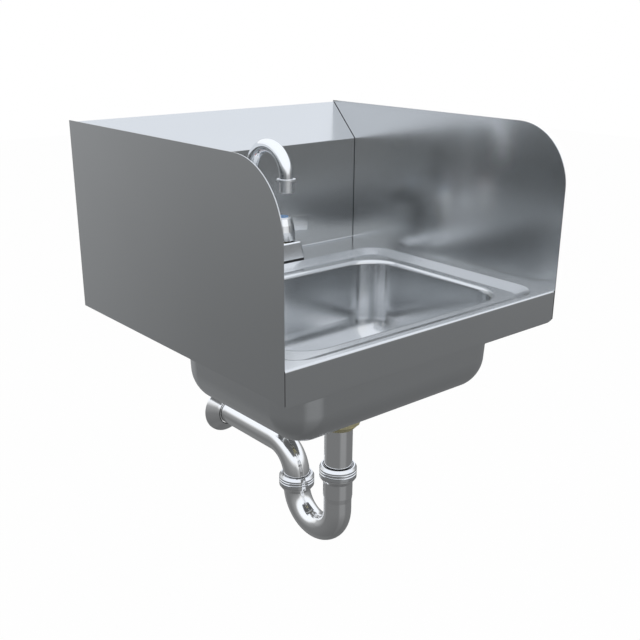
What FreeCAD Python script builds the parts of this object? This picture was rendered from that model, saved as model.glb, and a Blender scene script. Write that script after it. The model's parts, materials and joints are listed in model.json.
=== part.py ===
import FreeCAD, Part
import math
import os

# Wall-hung stainless steel hand wash sink with side splashes, gooseneck faucet and P-trap.
# Millimetres. The modelling frame has X along the wall, Y towards the wall with the wall at 0,
# and Z up from the top of the deck. The saved parts stand with the origin at the centre of
# the wall bracket's screw pattern.

# ---- sheet metal -------------------------------------------------------------------------
SHEET = 1.2                      # 18 gauge stainless steel
FOLD_RADIUS = 2.6                # outside radius of a fold
TIGHT_FOLD_RADIUS = 1.6          # outside radius of the sharp fold at the wall
SINK_WIDTH = 438.15
SINK_DEPTH = 431.8
APRON_HEIGHT = 42.0
APRON_RETURN = 12.0              # hidden lip folded back under the apron
APRON_CLIP_LENGTH = 9.0          # clipped lower corners of the apron
APRON_CLIP_HEIGHT = 3.5
BACKSPLASH_SETBACK = 50.8        # from the wall to the backsplash face
BACKSPLASH_HEIGHT = 152.4
BACKSPLASH_TOE = 7.0             # foot of the backsplash that lies in the deck
SLOPE_RISE = 52.0                # rise of the sloping top, from the face to the wall
HANGING_FLANGE = 32.0
SIDE_SPLASH_BELOW_SLOPE = 0.2    # top of the side splashes under the corner at the wall
SIDE_SPLASH_DROP = 38.0
SIDE_SPLASH_CORNER = 76.2        # rounded front corner

# ---- pressed deck and bowl -----------------------------------------------------------------
SIDE_RIM = 12.6                  # flat rim between the side splash and the step
FRONT_RIM = 8.9
BACK_SHELF = 63.1                # flat shelf between the backsplash and the step
STEP_RUN = 17.0
STEP_DROP = 6.5
STEP_CORNER_RADIUS = 38.0        # at the top of the step
LEDGE_WIDTH = 10.5               # flat ledge between the step and the bowl
BOWL_DEPTH = 125.6               # below the ledge
BOWL_DRAFT = 2.2                 # degrees
BOWL_CORNER_RADIUS = 44.8
BOWL_FLOOR_RADIUS = 43.8
BOWL_LIP_RADIUS = 5.5
FLOOR_DISH_RADIUS = 70.0         # shallow dish that leads to the drain
FLOOR_DISH_DROP = 2.0
DRAIN_SEAT_DROP = 2.2
DRAIN_SEAT_EDGE = 1.2            # clearance round the drain flange

# ---- wall bracket --------------------------------------------------------------------------
BRACKET_SHEET = 2.0
BRACKET_LENGTH = 352.0
BRACKET_PLATE = 60.0             # height of the part that lies on the wall
BRACKET_JOG = 5.0                # height of the jog that carries the hanging flange
BRACKET_LIP = 18.0               # height of the hook above the jog
BRACKET_BEND = 3.0               # outside radius of its bends
BRACKET_GAP = 0.3                # hanging flange to hook
SCREW_SPACING_X = 304.8
SCREW_SPACING_Z = 38.0
SCREW_HOLE_RADIUS = 3.6

# ---- drain ---------------------------------------------------------------------------------
DRAIN_BODY_RADIUS = 24.1         # 1-1/2 in pipe thread
DRAIN_WALL = 3.5
DRAIN_BODY_LENGTH = 36.0         # below the flange
DRAIN_FLANGE_LIP = 15.4          # flange beyond the thread
DRAIN_FLANGE_THICKNESS = 2.2
DRAIN_FLANGE_BEVEL = 4.0
DRAIN_HOLE_CLEARANCE = 0.9
THREAD_CLEARANCE = 0.15
FLANGE_SEAL_THICKNESS = 1.0
DRAIN_GASKET_LIP = 12.9
DRAIN_GASKET_THICKNESS = 3.0
FRICTION_WASHER_THICKNESS = 1.0
LOCKNUT_WALL = 8.0
LOCKNUT_HEIGHT = 9.0
LOCKNUT_LUGS = 8
LOCKNUT_LUG_HEIGHT = 4.0         # radial
LOCKNUT_LUG_WIDTH = 8.0
BASKET_RIM_LIP = 4.9             # rim of the basket on its seat
BASKET_SEAT_DEPTH = 1.4
BASKET_CLEARANCE = 1.2
BASKET_DEPTH = 21.0
BASKET_SHEET = 0.8
BASKET_BEND = 2.0
BASKET_INNER_HOLES = 5
BASKET_HOLE_RADIUS = 1.7
KNOB_RADIUS = 4.5
KNOB_HEIGHT = 9.0
KNOB_STEM_RADIUS = 2.0
KNOB_PROUD = 1.0                 # top of the knob above the drain flange
KNOB_EDGE = 1.5

# ---- tubing and trap -----------------------------------------------------------------------
TUBE_RADIUS = 19.05              # 1-1/2 in tubing
TUBE_WALL = 1.0
SLIP_CLEARANCE = 0.15            # male tube in its socket
TAIL_FLANGE_INSET = 0.9          # tailpiece flange inside the drain thread
TAIL_FLANGE_THICKNESS = 2.0
TAIL_WASHER_THICKNESS = 1.6
TAIL_WASHER_LIP = 1.55           # tailpiece washer inside the drain's bore
COUPLING_WALL = 5.55             # thread to the corners of the coupling nut
COUPLING_ENGAGEMENT = 12.0
COUPLING_TAPER = 9.5
COUPLING_FOOT_WALL = 1.6
COUPLING_CHAMFER = 1.5
COUPLING_SIDES = 8
TRAP_BEND_RADIUS = 44.5
TRAP_ARM_DEPTH = 250.8           # axis of the trap arm below the deck
TRAP_ARM_IN_WALL = 18.0
TRAP_DROP = 13.7                 # straight run between the two bends
INLET_LEG = 65.0                 # J-bend inlet above the centre of its bend
OUTLET_LEG = 15.3
SLEEVE_WALL = 0.9
SLEEVE_LENGTH = 42.0             # expanded inlet of the J-bend
SLEEVE_TAPER = 7.0
SLEEVE_FLOOR = 1.0
TAIL_END_GAP = 4.0               # end of the tailpiece above the bottom of the sleeve
ARM_END_GAP = 2.3                # end of the trap arm above the centre of the bend
SPIGOT_WALL = 3.7                # threaded end of the J-bend
SPIGOT_HEIGHT = 12.0
COLLAR_LIP = 2.3
COLLAR_LAND = 1.6
COLLAR_TAPER = 7.0
SLIP_NUT_WALL = 2.25
SLIP_NUT_LIP = 2.0               # thickness of the nut's top
SLIP_NUT_SHOULDER = 3.6
SLIP_NUT_BEAD = 3.8              # height of one bead
SLIP_NUT_BEADS = 2
SLIP_NUT_GROOVE = 0.8
SLIP_NUT_COLLAR_GAP = 0.3
SLIP_NUT_CLEARANCE = 0.5         # bore of the nut round the tube
SLIP_WASHER_THICKNESS = 2.0
SLIP_WASHER_CLEARANCE = 0.2
ESCUTCHEON_LIP = 17.4            # rim beyond the tube
ESCUTCHEON_RIM = 2.0             # height of the rim at the wall
ESCUTCHEON_DEPTH = 14.0
ESCUTCHEON_NECK = 2.0
ESCUTCHEON_FLARE = 3.0
ESCUTCHEON_SHEET = 0.9
ESCUTCHEON_CLEARANCE = 0.9

# ---- faucet body and inlets ------------------------------------------------------------------
FAUCET_CENTRES = 101.6           # handle to handle
FAUCET_FROM_SPLASH = 34.2        # from the backsplash face to the middle of the faucet
BASE_GASKET_THICKNESS = 3.0
BASE_GASKET_LAP = 1.5            # gasket inside the deck's holes
BODY_LENGTH = 142.4
BODY_WIDTH = 53.4
BODY_HEIGHT = 23.3
BODY_SIDE_TAPER = 3.0
BODY_FACE_TAPER = 3.5
BODY_CORNER_RADIUS = 4.5
BODY_TOP_RADIUS = 2.4
BODY_WALL = 3.0
BOSS_WALL = 2.55
GALLERY_BORE_RADIUS = 2.8        # waterway between the valves and the spout
GALLERY_WALL = 2.5
SHANK_RADIUS = 10.3              # 1/2 in straight pipe thread
SHANK_WALL = 3.8
SHANK_LENGTH = 58.0              # below the deck
SHANK_ENGAGEMENT = 6.0
SUPPLY_THREAD = 16.0             # thread at the lower end, for the supply hose
SHANK_RELIEF_WIDTH = 2.0
SHANK_RELIEF_DEPTH = 0.8
SHANK_HOLE_CLEARANCE = 4.0       # deck hole round the shank
SHANK_NUT_WALL = 6.0
SHANK_NUT_HEIGHT = 8.0
SHANK_NUT_CHAMFER = 1.2
SHANK_WASHER_LAP = 3.7           # washer beyond the deck hole
SHANK_WASHER_THICKNESS = 1.6

# ---- valves ----------------------------------------------------------------------------------
PORT_RADIUS = 4.0
PORT_WEB = 2.0                   # floor between shank and cartridge
CARTRIDGE_RADIUS = 9.5
CARTRIDGE_WALL = 1.7
SEAT_SEAL_THICKNESS = 1.0
SEAT_SEAL_CLEARANCE = 0.5
DISC_THICKNESS = 2.0
DISC_PORT_RADIUS = 2.5
DISC_PORT_OFFSET = 3.9
WINDOW_RADIUS = 1.5              # side outlet of the cartridge
STEM_RADIUS = 4.0
STEM_FOOT_THICKNESS = 2.6
BONNET_LIP = 2.7                 # hexagon beyond the cartridge, to its corners
BONNET_HEIGHT = 5.0
BONNET_CHAMFER = 0.8
BONNET_NECK_WALL = 3.35
BONNET_NECK_HEIGHT = 9.0
RUNNING_CLEARANCE = 0.05
PART_CLEARANCE = 0.3             # between pieces that move past each other

# ---- handles ---------------------------------------------------------------------------------
HUB_LIFT = 1.2                   # hub above the faucet body
HUB_HEIGHT = 32.4
HUB_CLEARANCE = 3.1              # hub round the hexagon
HUB_WALL = 3.0
HUB_CROWN = 11.0                 # solid top of the hub that grips the stem
HUB_SKIRT = 12.4                 # nearly straight lower part
HUB_SKIRT_TAPER = 0.6
HUB_SHOULDER = 11.0              # height of the rounded shoulder
HUB_SHOULDER_TAPER = 2.1
HUB_EDGE = 1.5                   # height of the bevel at the top
HUB_EDGE_TAPER = 4.6
HUB_TOP_RIM = 0.6                # metal round the index cap
CAP_RADIUS = 8.7
CAP_HEIGHT = 0.8
CAP_PLUG_DEPTH = 1.4
HANDLE_SCREW_RADIUS = 2.2
HANDLE_SCREW_HEAD_RADIUS = 4.2
HANDLE_SCREW_HEAD_HEIGHT = 2.6
HANDLE_SCREW_LENGTH = 9.0
HANDLE_SCREW_TIP_GAP = 1.0
LEVER_REACH = 48.0               # from the handle's axis
LEVER_HEIGHT = 20.7
LEVER_BELOW_TOP = 0.5
LEVER_DROOP = 4.0                # degrees
LEVER_ROOT_THICKNESS = 8.0
LEVER_TIP_THICKNESS = 5.6

# ---- spout -----------------------------------------------------------------------------------
SPOUT_RADIUS = 8.9
SPOUT_WALL = 1.2
SPOUT_BEND_RADIUS = 37.0
SPOUT_ARC_CENTRE = 130.2         # above the deck
SPOUT_FOOT_LIP = 0.7             # foot beyond the tube
SPOUT_FOOT_DEPTH = 7.6           # below the top of the faucet body
SPOUT_COLLAR_LIP = 1.8
SPOUT_COLLAR_HEIGHT = 3.5
THRUST_RING_THICKNESS = 1.4
SPOUT_BOSS_WALL = 1.7
SPOUT_BOSS_HEIGHT = 9.0
SPOUT_SUMP_DEPTH = 0.8           # floor of the spout's socket under the waterway
SPOUT_NUT_WALL = 2.9
SPOUT_NUT_HEIGHT = 17.0
SPOUT_NUT_SKIRT = 10.0           # straight part of the nut
SPOUT_NUT_NECK_WALL = 3.3
SPOUT_NUT_EDGE = 1.5
O_RING_SECTION = 0.6             # radius
O_RING_GROOVE_DEPTH = 1.4
O_RING_GROOVE_WIDTH = 2.0
O_RING_FROM_END = 3.0
O_RING_SPACING = 6.0
O_RING_COUNT = 2
O_RING_SIDES = 8
AERATOR_FLANGE_HEIGHT = 128.4    # top of the flange above the deck
AERATOR_FLANGE_THICKNESS = 2.0
AERATOR_FLANGE_LIP = 3.6
AERATOR_RADIUS = 8.9
AERATOR_WALL = 1.2
AERATOR_LENGTH = 17.4            # from the top of the flange to the outlet
AERATOR_EDGE = 0.5
AERATOR_NECK_HEIGHT = 3.0
AERATOR_NECK_WALL = 1.0
AERATOR_NECK_CLEARANCE = 0.1
AERATOR_INSERT_HEIGHT = 6.0
AERATOR_INSERT_RECESS = 1.0
AERATOR_JETS = 6
AERATOR_JET_RADIUS = 1.3
AERATOR_JET_CIRCLE = 4.6

# ---- places worked out from the sizes --------------------------------------------------------
INNER_HALF_WIDTH = SINK_WIDTH / 2 - SHEET
DECK_BACK = -BACKSPLASH_SETBACK - BACKSPLASH_TOE
STEP_HALF_X = INNER_HALF_WIDTH - SIDE_RIM
STEP_HALF_Y = (SINK_DEPTH - FRONT_RIM - BACK_SHELF - BACKSPLASH_SETBACK) / 2
BOWL_Y = -SINK_DEPTH + FRONT_RIM + STEP_HALF_Y
LIP_HALF_X = STEP_HALF_X - STEP_RUN - LEDGE_WIDTH
LIP_HALF_Y = STEP_HALF_Y - STEP_RUN - LEDGE_WIDTH
SLOPE_TOP = BACKSPLASH_HEIGHT + SLOPE_RISE
FLANGE_FOOT_Z = SLOPE_TOP - HANGING_FLANGE
HOOK_Y = -(SHEET + BRACKET_GAP)
JOG_Z = FLANGE_FOOT_Z - BRACKET_JOG
SCREW_CENTRE_Z = JOG_Z - BRACKET_PLATE / 2

LEDGE_Z = -STEP_DROP
FLOOR_Z = LEDGE_Z - BOWL_DEPTH
SEAT_Z = FLOOR_Z - FLOOR_DISH_DROP - DRAIN_SEAT_DROP
DRAIN_FLANGE_RADIUS = DRAIN_BODY_RADIUS + DRAIN_FLANGE_LIP
DRAIN_BORE_RADIUS = DRAIN_BODY_RADIUS - DRAIN_WALL
DRAIN_HOLE_RADIUS = DRAIN_BODY_RADIUS + DRAIN_HOLE_CLEARANCE
DRAIN_GASKET_RADIUS = DRAIN_BODY_RADIUS + DRAIN_GASKET_LIP
SEAT_RADIUS = DRAIN_FLANGE_RADIUS + DRAIN_SEAT_EDGE
DRAIN_FLANGE_Z = SEAT_Z + FLANGE_SEAL_THICKNESS
DRAIN_TOP_Z = DRAIN_FLANGE_Z + DRAIN_FLANGE_THICKNESS
DRAIN_END_Z = DRAIN_FLANGE_Z - DRAIN_BODY_LENGTH
GASKET_TOP_Z = SEAT_Z - SHEET
WASHER_TOP_Z = GASKET_TOP_Z - DRAIN_GASKET_THICKNESS
LOCKNUT_TOP_Z = WASHER_TOP_Z - FRICTION_WASHER_THICKNESS
BASKET_RIM_RADIUS = DRAIN_BORE_RADIUS + BASKET_RIM_LIP
BASKET_RIM_Z = DRAIN_TOP_Z - BASKET_SEAT_DEPTH
BASKET_FLOOR_Z = BASKET_RIM_Z - BASKET_DEPTH
TAIL_FLANGE_TOP_Z = DRAIN_END_Z - TAIL_WASHER_THICKNESS
TAIL_FLANGE_Z = TAIL_FLANGE_TOP_Z - TAIL_FLANGE_THICKNESS
TAIL_FLANGE_RADIUS = DRAIN_BODY_RADIUS - TAIL_FLANGE_INSET
TAIL_WASHER_BORE = DRAIN_BORE_RADIUS - TAIL_WASHER_LIP

TUBE_BORE = TUBE_RADIUS - TUBE_WALL
SOCKET_RADIUS = TUBE_RADIUS + SLIP_CLEARANCE
SLEEVE_RADIUS = SOCKET_RADIUS + SLEEVE_WALL
SPIGOT_RADIUS = SOCKET_RADIUS + SPIGOT_WALL
COLLAR_RADIUS = SPIGOT_RADIUS + COLLAR_LIP
TRAP_ARM_Z = -TRAP_ARM_DEPTH
TRAP_ARC_Z = TRAP_ARM_Z - TRAP_BEND_RADIUS - TRAP_DROP
TRAP_OUTLET_Y = BOWL_Y + 2 * TRAP_BEND_RADIUS
INLET_TOP_Z = TRAP_ARC_Z + INLET_LEG
OUTLET_TOP_Z = TRAP_ARC_Z + OUTLET_LEG
SLEEVE_END_Z = INLET_TOP_Z - SLEEVE_LENGTH
TAIL_END_Z = SLEEVE_END_Z + TAIL_END_GAP
ARM_END_Z = TRAP_ARC_Z + ARM_END_GAP

FAUCET_Y = -BACKSPLASH_SETBACK - FAUCET_FROM_SPLASH
HANDLE_X = FAUCET_CENTRES / 2
FAUCET_HOLE_RADIUS = SHANK_RADIUS + SHANK_HOLE_CLEARANCE
BODY_FOOT_Z = BASE_GASKET_THICKNESS
BODY_TOP_Z = BODY_FOOT_Z + BODY_HEIGHT
BOSS_RADIUS = max(SHANK_RADIUS, CARTRIDGE_RADIUS) + THREAD_CLEARANCE + BOSS_WALL
SHANK_TOP_Z = BODY_FOOT_Z + SHANK_ENGAGEMENT
CARTRIDGE_FLOOR_Z = SHANK_TOP_Z + PORT_WEB
FIXED_DISC_Z = CARTRIDGE_FLOOR_Z + SEAT_SEAL_THICKNESS
MOVING_DISC_Z = FIXED_DISC_Z + DISC_THICKNESS
STEM_FOOT_Z = MOVING_DISC_Z + DISC_THICKNESS
STEM_SHOULDER_Z = STEM_FOOT_Z + STEM_FOOT_THICKNESS
DISC_RADIUS = CARTRIDGE_RADIUS - CARTRIDGE_WALL - RUNNING_CLEARANCE
BONNET_RADIUS = CARTRIDGE_RADIUS + BONNET_LIP
BONNET_NECK_RADIUS = STEM_RADIUS + RUNNING_CLEARANCE + BONNET_NECK_WALL
BONNET_TOP_Z = BODY_TOP_Z + BONNET_HEIGHT
NECK_TOP_Z = BONNET_TOP_Z + BONNET_NECK_HEIGHT
GALLERY_Z = MOVING_DISC_Z

HUB_CAVITY_RADIUS = BONNET_RADIUS + HUB_CLEARANCE
HUB_FOOT_RADIUS = HUB_CAVITY_RADIUS + HUB_WALL
HUB_FOOT_Z = BODY_TOP_Z + HUB_LIFT
HUB_TOP_Z = HUB_FOOT_Z + HUB_HEIGHT
STEM_TOP_Z = HUB_TOP_Z - HANDLE_SCREW_HEAD_HEIGHT - CAP_PLUG_DEPTH - PART_CLEARANCE
SCREW_RECESS_RADIUS = HANDLE_SCREW_HEAD_RADIUS + PART_CLEARANCE

SPOUT_BORE = SPOUT_RADIUS - SPOUT_WALL
SPOUT_FOOT_RADIUS = SPOUT_RADIUS + SPOUT_FOOT_LIP
SPOUT_SOCKET_RADIUS = SPOUT_FOOT_RADIUS + RUNNING_CLEARANCE
SPOUT_COLLAR_RADIUS = SPOUT_FOOT_RADIUS + SPOUT_COLLAR_LIP
SPOUT_BOSS_RADIUS = SPOUT_COLLAR_RADIUS + PART_CLEARANCE + SPOUT_BOSS_WALL
SPOUT_NUT_RADIUS = SPOUT_BOSS_RADIUS + THREAD_CLEARANCE + SPOUT_NUT_WALL
SPOUT_NUT_TOP_RADIUS = SPOUT_RADIUS + PART_CLEARANCE + SPOUT_NUT_NECK_WALL
SPOUT_FOOT_Z = BODY_TOP_Z - SPOUT_FOOT_DEPTH
SPOUT_BOSS_TOP_Z = BODY_TOP_Z + SPOUT_BOSS_HEIGHT
SPOUT_COLLAR_Z = SPOUT_BOSS_TOP_Z - PART_CLEARANCE - SPOUT_COLLAR_HEIGHT
SPOUT_COLLAR_TOP_Z = SPOUT_COLLAR_Z + SPOUT_COLLAR_HEIGHT
THRUST_RING_Z = SPOUT_COLLAR_Z - THRUST_RING_THICKNESS
SPOUT_OUTLET_Y = FAUCET_Y - 2 * SPOUT_BEND_RADIUS
AERATOR_BORE = AERATOR_RADIUS - AERATOR_WALL
AERATOR_BOTTOM_Z = AERATOR_FLANGE_HEIGHT - AERATOR_LENGTH


# ---- helpers ---------------------------------------------------------------------------------
def vec(x, y, z):
    return FreeCAD.Vector(x, y, z)


def save(name, shape):
    """Write one node, moved so that the bracket's screw pattern is the origin."""
    shape = shape.copy()
    shape.translate(vec(0, 0, -SCREW_CENTRE_Z))
    shape.exportStep("parts/" + name + ".step")


def rod(radius, x, y, z_low, z_high):
    """Upright cylinder."""
    return Part.makeCylinder(radius, z_high - z_low, vec(x, y, z_low))


def ring(outer, inner, x, y, z_low, z_high):
    """Upright tube."""
    return rod(outer, x, y, z_low, z_high).cut(rod(inner, x, y, z_low, z_high))


def turned(x, y, profile):
    """Solid of revolution about an upright axis, from (radius, z) corners."""
    corners = [vec(x + radius, y, z) for radius, z in profile]
    face = Part.Face(Part.makePolygon(corners + corners[:1]))
    return face.revolve(vec(x, y, 0), vec(0, 0, 1), 360)


def prism(sides, radius, x, y, z_low, z_high, chamfer):
    """Regular prism with its corners turned off at the top and the bottom."""
    turn = 2 * math.pi / sides
    corners = [vec(x + radius * math.cos(turn * (i + 0.5)), y + radius * math.sin(turn * (i + 0.5)), z_low)
               for i in range(sides)]
    face = Part.Face(Part.makePolygon(corners + corners[:1]))
    inner = radius - chamfer
    drop = chamfer * math.tan(math.radians(30))
    blank = turned(x, y, [(0, z_low), (inner, z_low), (radius, z_low + drop), (radius, z_high - drop),
                          (inner, z_high), (0, z_high)])
    return face.extrude(vec(0, 0, z_high - z_low)).common(blank)


def rounded_path(points, radii):
    """Straight runs through the points, joined by tangent arcs at the inner points."""
    edges = []
    last = points[0]
    for before, corner, after, radius in zip(points, points[1:], points[2:], radii):
        back = (before - corner).normalize()
        ahead = (after - corner).normalize()
        half = back.getAngle(ahead) / 2
        reach = radius / math.tan(half)
        start = corner + back * reach
        end = corner + ahead * reach
        middle = corner + (back + ahead).normalize() * (radius / math.sin(half) - radius)
        edges.append(Part.LineSegment(last, start).toShape())
        edges.append(Part.Arc(start, middle, end).toShape())
        last = end
    edges.append(Part.LineSegment(last, points[-1]).toShape())
    return Part.Wire(edges)


def folded_strip(outline, radii, thickness, half_length):
    """Folded sheet along X. The outline gives (y, z) of one face, with the sheet on its right."""
    points = [vec(-half_length, y, z) for y, z in outline]
    face = rounded_path(points, radii).makeOffset2D(thickness, 0, True, True, False)
    return face.extrude(vec(2 * half_length, 0, 0))


def swept_tube(path, start, direction, outer, inner):
    """Round tube along a path of straight runs and tangent arcs."""
    skins = []
    for radius in (outer, inner):
        section = Part.Wire(Part.makeCircle(radius, start, direction))
        skins.append(path.makePipeShell([section], True, False))
    return skins[0].cut(skins[1])


def frustum(x_half, y_half, centre_y, z_top, height, inset_x, inset_y):
    """Rectangular block whose foot is inset by the given amounts."""
    wedge = Part.makeWedge(-(x_half - inset_x), 0, -(y_half - inset_y), -y_half, -x_half,
                           x_half - inset_x, height, y_half - inset_y, y_half, x_half)
    wedge.rotate(vec(0, 0, 0), vec(1, 0, 0), 90)
    wedge.translate(vec(0, centre_y, z_top - height))
    return wedge


def slanted_edges(shape, height):
    """The four corner edges of a frustum of the given height."""
    return [edge for edge in shape.Edges
            if abs(edge.BoundBox.ZLength - height) < 1e-4 and edge.BoundBox.XLength > 1e-4]


def edges_at(shape, z):
    """Edges that lie in one level plane."""
    return [edge for edge in shape.Edges
            if abs(edge.BoundBox.ZMin - z) < 1e-4 and abs(edge.BoundBox.ZMax - z) < 1e-4]


def rounded_rectangle(x_half, y_half, radius, z):
    """Level outline about the middle of the bowl."""
    points = [vec(x_half, BOWL_Y, z), vec(x_half, BOWL_Y + y_half, z), vec(-x_half, BOWL_Y + y_half, z),
              vec(-x_half, BOWL_Y - y_half, z), vec(x_half, BOWL_Y - y_half, z), vec(x_half, BOWL_Y, z)]
    return rounded_path(points, [radius] * 4)


# ---- sheet metal parts -----------------------------------------------------------------------
def pressed_form(grow):
    """Fill of the deck's step and the bowl. grow moves its walls and floors outwards."""
    slope = math.atan2(STEP_DROP, STEP_RUN)
    spread = grow / math.sin(slope)
    foot_z = LEDGE_Z - grow
    inset = -foot_z / math.tan(slope)
    half_x = STEP_HALF_X + spread
    half_y = STEP_HALF_Y + spread
    radius = STEP_CORNER_RADIUS + spread
    top = rounded_rectangle(half_x, half_y, radius, 0)
    bottom = rounded_rectangle(half_x - inset, half_y - inset, radius - inset, foot_z)
    step = Part.makeLoft([top, bottom], True, True)

    draft = math.tan(math.radians(BOWL_DRAFT))
    lap = STEP_DROP / 2
    bowl_x = LIP_HALF_X - BOWL_LIP_RADIUS + grow + lap * draft
    bowl_y = LIP_HALF_Y - BOWL_LIP_RADIUS + grow + lap * draft
    height = BOWL_DEPTH + lap + grow
    floor_z = FLOOR_Z - grow
    bowl = frustum(bowl_x, bowl_y, BOWL_Y, LEDGE_Z + lap, height, height * draft, height * draft)
    bowl = bowl.makeFillet(BOWL_CORNER_RADIUS + grow, slanted_edges(bowl, height))
    floor_radius = min(BOWL_FLOOR_RADIUS, BOWL_CORNER_RADIUS - 1)
    bowl = bowl.makeFillet(floor_radius + grow, edges_at(bowl, floor_z))

    seat_radius = SEAT_RADIUS + grow
    dish_radius = FLOOR_DISH_RADIUS + grow
    dish = turned(0, BOWL_Y, [(0, floor_z + 1), (dish_radius, floor_z + 1), (dish_radius, floor_z),
                              (seat_radius, floor_z - FLOOR_DISH_DROP), (seat_radius, SEAT_Z - grow),
                              (0, SEAT_Z - grow)])
    form = step.fuse(bowl).removeSplitter()
    lip = [edge for edge in edges_at(form, foot_z) if edge.BoundBox.XMax < bowl_x + 1]
    return form.makeFillet(BOWL_LIP_RADIUS - grow, lip).fuse(dish)


def apron_clip(side):
    """Tool that clips one lower corner of the apron."""
    edge_x = side * INNER_HALF_WIDTH
    inner_x = side * (INNER_HALF_WIDTH - APRON_CLIP_LENGTH)
    front = -SINK_DEPTH - 1
    foot = -APRON_HEIGHT
    clip_z = foot + APRON_CLIP_HEIGHT
    corner = [vec(edge_x, front, clip_z), vec(inner_x, front, foot), vec(inner_x, front, foot - 1),
              vec(edge_x + side, front, foot - 1), vec(edge_x + side, front, clip_z)]
    return Part.Face(Part.makePolygon(corner + corner[:1])).extrude(vec(0, APRON_RETURN + 2, 0))


def basin():
    """Deck, bowl and front apron, drawn and folded from one sheet."""
    outline = [(-SINK_DEPTH + APRON_RETURN, -APRON_HEIGHT), (-SINK_DEPTH, -APRON_HEIGHT), (-SINK_DEPTH, 0),
               (DECK_BACK, 0)]
    sheet = folded_strip(outline, [TIGHT_FOLD_RADIUS, FOLD_RADIUS], SHEET, INNER_HALF_WIDTH)
    sheet = sheet.cut(apron_clip(-1)).cut(apron_clip(1))
    sheet = sheet.fuse(pressed_form(SHEET)).cut(pressed_form(0))
    sheet = sheet.cut(rod(DRAIN_HOLE_RADIUS, 0, BOWL_Y, SEAT_Z - 2 * SHEET, FLOOR_Z))
    for x in (-HANDLE_X, 0, HANDLE_X):
        sheet = sheet.cut(rod(FAUCET_HOLE_RADIUS, x, FAUCET_Y, -2 * SHEET, SHEET))
    return sheet.removeSplitter()


def backsplash():
    """Backsplash with its foot in the deck, sloping top and hanging flange."""
    outline = [(DECK_BACK, 0), (-BACKSPLASH_SETBACK, 0), (-BACKSPLASH_SETBACK, BACKSPLASH_HEIGHT),
               (0, SLOPE_TOP), (0, FLANGE_FOOT_Z)]
    return folded_strip(outline, [FOLD_RADIUS, FOLD_RADIUS, TIGHT_FOLD_RADIUS], SHEET, INNER_HALF_WIDTH)


def side_splash(side):
    """Flat end panel with one large rounded corner."""
    bottom = -SIDE_SPLASH_DROP
    top = SLOPE_TOP - SIDE_SPLASH_BELOW_SLOPE
    x = side * INNER_HALF_WIDTH
    corners = [vec(x, 0, top), vec(x, -SINK_DEPTH, top), vec(x, -SINK_DEPTH, bottom)]
    rounded = rounded_path(corners, [SIDE_SPLASH_CORNER])
    rest = Part.makePolygon([corners[2], vec(x, 0, bottom), corners[0]])
    return Part.Face(Part.Wire(rounded.Edges + rest.Edges)).extrude(vec(side * SHEET, 0, 0))


def wall_bracket():
    """Strip screwed to the wall. It jogs out from the wall and holds the hanging flange behind it."""
    hook_y = HOOK_Y - BRACKET_SHEET
    outline = [(-BRACKET_SHEET, JOG_Z - BRACKET_PLATE), (-BRACKET_SHEET, JOG_Z), (hook_y, FLANGE_FOOT_Z),
               (hook_y, FLANGE_FOOT_Z + BRACKET_LIP)]
    bracket = folded_strip(outline, [BRACKET_BEND, BRACKET_BEND], BRACKET_SHEET, BRACKET_LENGTH / 2)
    for x in (-SCREW_SPACING_X / 2, SCREW_SPACING_X / 2):
        for z in (-SCREW_SPACING_Z / 2, SCREW_SPACING_Z / 2):
            start = vec(x, -2 * BRACKET_SHEET, SCREW_CENTRE_Z + z)
            hole = Part.makeCylinder(SCREW_HOLE_RADIUS, 3 * BRACKET_SHEET, start, vec(0, 1, 0))
            bracket = bracket.cut(hole)
    return bracket


# ---- drain -----------------------------------------------------------------------------------
def drain_body():
    """Flanged and threaded drain with a seat for the basket's rim."""
    mouth = BASKET_RIM_RADIUS + PART_CLEARANCE
    rim = DRAIN_FLANGE_RADIUS
    thread = DRAIN_BODY_RADIUS
    return turned(0, BOWL_Y, [
        (mouth, DRAIN_TOP_Z), (rim - DRAIN_FLANGE_BEVEL, DRAIN_TOP_Z),
        (rim, DRAIN_FLANGE_Z + DRAIN_FLANGE_THICKNESS / 3), (rim, DRAIN_FLANGE_Z), (thread, DRAIN_FLANGE_Z),
        (thread, DRAIN_END_Z), (DRAIN_BORE_RADIUS, DRAIN_END_Z), (DRAIN_BORE_RADIUS, BASKET_RIM_Z),
        (mouth, BASKET_RIM_Z)])


def drain_locknut():
    """Locknut with lugs for a spanner."""
    bottom = LOCKNUT_TOP_Z - LOCKNUT_HEIGHT
    root = DRAIN_BODY_RADIUS + LOCKNUT_WALL
    tip = root + LOCKNUT_LUG_HEIGHT
    nut = rod(root, 0, BOWL_Y, bottom, LOCKNUT_TOP_Z)
    for index in range(LOCKNUT_LUGS):
        lug = Part.makeBox(tip - DRAIN_BODY_RADIUS, LOCKNUT_LUG_WIDTH, LOCKNUT_HEIGHT,
                           vec(DRAIN_BODY_RADIUS, -LOCKNUT_LUG_WIDTH / 2, bottom))
        lug.rotate(vec(0, 0, 0), vec(0, 0, 1), index * 360 / LOCKNUT_LUGS)
        lug.translate(vec(0, BOWL_Y, 0))
        nut = nut.fuse(lug)
    bore = rod(DRAIN_BODY_RADIUS + THREAD_CLEARANCE, 0, BOWL_Y, bottom, LOCKNUT_TOP_Z)
    return nut.cut(bore).removeSplitter()


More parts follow.
